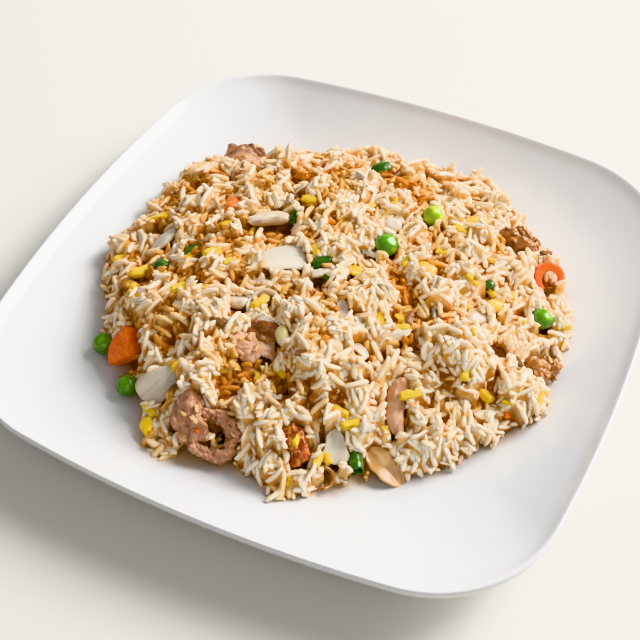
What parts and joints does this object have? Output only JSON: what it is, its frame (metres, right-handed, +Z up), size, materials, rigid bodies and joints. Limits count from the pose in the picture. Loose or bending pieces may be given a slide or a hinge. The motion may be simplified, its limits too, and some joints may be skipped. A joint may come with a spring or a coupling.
{
  "type": "fried rice plate",
  "caption": "Square coupe plate of white glazed porcelain holding a wide heap of fried rice with peas, carrot, scallion, onion, egg and pork.",
  "frame": {"origin": "on the table, under the middle of the plate's foot ring", "axes": "+Z up; X and Y run along the sides of the square plate"},
  "size_m": [0.2398, 0.2398, 0.0432],
  "materials": {
    "porcelain": "smooth white glaze with a wet gloss",
    "rice": "cooked long rice, creamy and slightly translucent, stained tan to brown by soy in the gaps",
    "pea": "bright green skin with faint dimples",
    "pea_pale": "yellow-green skin",
    "carrot": "wet orange cut faces",
    "scallion": "dark green leaf with fine lengthwise veins",
    "onion": "translucent grey-white flesh with faint lines",
    "onion_browned": "translucent tan flesh stained by soy",
    "pork": "pinkish-brown cooked meat with pale fibres",
    "pork_browned": "dark red-brown seared meat",
    "egg": "soft yellow scrambled egg with orange edges"
  },
  "bodies": {
    "root": {"plate": "porcelain", "rice_heap": "rice", "pea_on_rim": "pea", "pea_at_foot": "pea", "pea_on_crown": "pea", "pea_on_slope": "pea", "pea_pale": "pea_pale", "carrot_wedge": "carrot", "carrot_dice": "carrot", "carrot_curl": "carrot", "carrot_chip": "carrot", "scallion_ring_left": "scallion", "scallion_fold_left": "scallion", "scallion_tucked": "scallion", "scallion_wedge": "scallion", "scallion_white": "onion", "scallion_back": "scallion", "scallion_right": "scallion", "scallion_front": "scallion", "onion_slab_crown": "onion", "onion_slab_left": "onion", "onion_slab_back": "onion", "onion_strip_left": "onion", "onion_dice": "onion", "onion_hoop": "onion", "onion_tongue": "onion", "onion_curl": "onion", "onion_petal_centre": "onion", "onion_petal_front": "onion", "onion_petal_right": "onion", "onion_knob": "onion", "onion_slab_front": "onion", "onion_leaf_foot": "onion_browned", "onion_hoop_browned": "onion_browned", "pork_back": "pork", "pork_centre": "pork", "pork_centre_dark": "pork_browned", "pork_front_left": "pork", "pork_front_curl": "pork", "pork_strip": "pork", "pork_right_back": "pork_browned", "pork_right": "pork_browned", "pork_tucked": "pork_browned", "charred_bit": "pork_browned", "egg_strip_left": "egg", "egg_strip_back": "egg", "egg_strip_right": "egg", "egg_dice": "egg", "egg_dice_pale": "egg", "egg_fold_crown": "egg", "egg_fold_centre": "egg", "egg_shred_centre": "egg", "egg_scrap_foot": "egg"}
  },
  "joints": []
}
